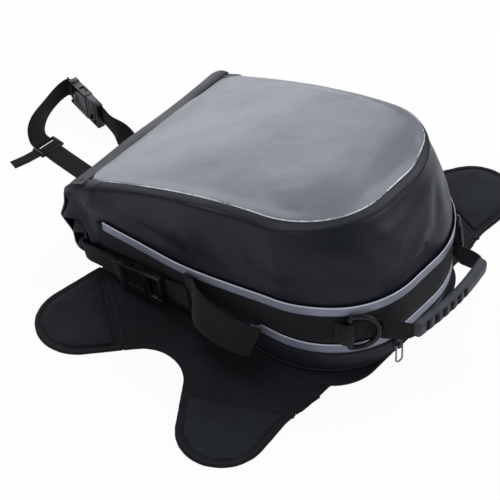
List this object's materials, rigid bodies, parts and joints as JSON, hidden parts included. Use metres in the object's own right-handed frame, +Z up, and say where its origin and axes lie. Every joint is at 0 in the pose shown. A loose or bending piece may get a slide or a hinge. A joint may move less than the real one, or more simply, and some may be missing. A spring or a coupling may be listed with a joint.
{
  "type": "motorcycle tank bag",
  "caption": "Wedge-shaped roll-top motorcycle bag with map window, reflective trim, carry handle, D-rings, strap buckles and a magnetic base sheet with folding flaps",
  "frame": {"origin": "middle of the underside of the base, which lies flat on the ground", "axes": "+X the rounded rear end with the carry handle, -X the roll closure and the steering-head strap, +Y the far side, +Z up"},
  "size_m": [0.6269, 0.5318, 0.2],
  "materials": {
    "pvc": "satin black PVC coated fabric",
    "window": "clear PVC over dark backing, glossy",
    "reflective": "silver reflective tape, satin",
    "webbing": "woven nylon webbing, matte",
    "base_fabric": "coated nylon, matte",
    "pocket_fabric": "rubberised fabric, matte",
    "buckle_plastic": "moulded acetal, satin",
    "grip_rubber": "moulded rubber, matte",
    "zip": "nylon coil zip",
    "zip_metal": "plated zinc",
    "board": "stiffening board",
    "magnet": "ferrite magnet in steel plate",
    "pad": "anti-slip rubber lining"
  },
  "bodies": {
    "bag": {"upper_wall": "pvc", "lower_wall": "pvc", "top_panel": "pvc", "map_window": "window", "upper_reflective_strip": "reflective", "middle_band": "webbing", "lower_reflective_strip": "reflective", "zip_tape": "zip", "zip_coil": "zip", "base_board": "board", "base_zip": "zip", "base_sheet": "base_fabric", "base_pad": "pad", "roll_closure": "pvc", "mouth_stiffener": "board", "near_roll_strap": "webbing", "far_roll_strap": "webbing", "near_side_strap": "webbing", "far_side_strap": "webbing", "near_strap_tail": "webbing", "far_strap_tail": "webbing", "near_buckle_socket": "buckle_plastic", "far_buckle_socket": "buckle_plastic", "near_ring_loop": "webbing", "far_ring_loop": "webbing", "near_handle_anchor": "webbing", "far_handle_anchor": "webbing", "near_strap_root": "webbing", "far_strap_root": "webbing"},
    "near_skirt": {"near_skirt": "base_fabric"},
    "far_skirt": {"far_skirt": "base_fabric"},
    "near_front_flap": {"near_front_flap": "base_fabric", "near_front_pocket": "pocket_fabric", "near_front_magnet": "magnet"},
    "near_rear_flap": {"near_rear_flap": "base_fabric", "near_rear_pocket": "pocket_fabric", "near_rear_magnet": "magnet"},
    "near_d_ring": {"near_d_ring": "buckle_plastic"},
    "near_plug": {"near_buckle_plug": "buckle_plastic"},
    "far_front_flap": {"far_front_flap": "base_fabric", "far_front_pocket": "pocket_fabric", "far_front_magnet": "magnet"},
    "far_rear_flap": {"far_rear_flap": "base_fabric", "far_rear_pocket": "pocket_fabric", "far_rear_magnet": "magnet"},
    "far_d_ring": {"far_d_ring": "buckle_plastic"},
    "far_plug": {"far_buckle_plug": "buckle_plastic"},
    "carry_handle": {"near_handle_webbing": "webbing", "far_handle_webbing": "webbing", "handle_grip": "grip_rubber"},
    "slider": {"zip_slider": "zip_metal"},
    "puller": {"zip_puller": "zip_metal"},
    "front_strap": {"front_strap_near": "webbing", "front_strap_loop": "webbing", "front_strap_far": "webbing", "front_strap_tail": "webbing", "front_adjuster": "buckle_plastic", "front_buckle_socket": "buckle_plastic"},
    "front_plug": {"front_buckle_plug": "buckle_plastic"}
  },
  "joints": [
    {"name": "near_skirt_fold", "type": "hinge", "parent": "bag", "child": "near_skirt", "pos_m": [0, -0.125, 0.0016], "axis": [1, 0, 0], "range_deg": [-6, 85]},
    {"name": "near_front_flap_fold", "type": "hinge", "parent": "near_skirt", "child": "near_front_flap", "pos_m": [-0.154, -0.125, 0.0016], "axis": [-0.8039, 0.5948, 0], "range_deg": [-75, 22]},
    {"name": "near_rear_flap_fold", "type": "hinge", "parent": "near_skirt", "child": "near_rear_flap", "pos_m": [0.147, -0.157, 0.0016], "axis": [-0.9205, -0.3907, 0], "range_deg": [-75, 90]},
    {"name": "near_d_ring_swing", "type": "hinge", "parent": "bag", "child": "near_d_ring", "pos_m": [0.16365, -0.09147, 0.077], "axis": [0, 0, -1], "range_deg": [0, 120]},
    {"name": "near_buckle_release", "type": "slide", "parent": "bag", "child": "near_plug", "axis": [0.9903, 0, 0.1392], "range_m": [0, 0.024], "deforming": ["near_side_strap"]},
    {"name": "far_skirt_fold", "type": "hinge", "parent": "bag", "child": "far_skirt", "pos_m": [0, 0.125, 0.0016], "axis": [-1, 0, 0], "range_deg": [-6, 85]},
    {"name": "far_front_flap_fold", "type": "hinge", "parent": "far_skirt", "child": "far_front_flap", "pos_m": [-0.154, 0.125, 0.0016], "axis": [0.8039, 0.5948, 0], "range_deg": [-75, 22]},
    {"name": "far_rear_flap_fold", "type": "hinge", "parent": "far_skirt", "child": "far_rear_flap", "pos_m": [0.147, 0.157, 0.0016], "axis": [0.9205, -0.3907, 0], "range_deg": [-75, 90]},
    {"name": "far_d_ring_swing", "type": "hinge", "parent": "bag", "child": "far_d_ring", "pos_m": [0.16365, 0.09147, 0.077], "axis": [0, 0, 1], "range_deg": [0, 120]},
    {"name": "far_buckle_release", "type": "slide", "parent": "bag", "child": "far_plug", "axis": [0.9903, 0, 0.1392], "range_m": [0, 0.024], "deforming": ["far_side_strap"]},
    {"name": "handle_swing", "type": "hinge", "parent": "bag", "child": "carry_handle", "pos_m": [0.18754, 0, 0.077], "axis": [0, -1, 0], "range_deg": [-52, 33]},
    {"name": "zip_run", "type": "hinge", "parent": "bag", "child": "slider", "pos_m": [0.087, -0.02, 0.0387], "axis": [0, 0, 1], "range_deg": [-68, 12]},
    {"name": "puller_swing", "type": "hinge", "parent": "slider", "child": "puller", "pos_m": [0.19179, -0.04613, 0.0387], "axis": [-0.2419, -0.9703, 0], "range_deg": [0, 80]},
    {"name": "front_strap_lift", "type": "hinge", "parent": "bag", "child": "front_strap", "pos_m": [-0.2262, 0, 0.0013], "axis": [0, 1, 0], "range_deg": [0, 70]},
    {"name": "front_buckle_release", "type": "slide", "parent": "front_strap", "child": "front_plug", "axis": [0.9613, -0.2756, 0], "range_m": [0, 0.024], "deforming": ["front_strap_far"]}
  ]
}
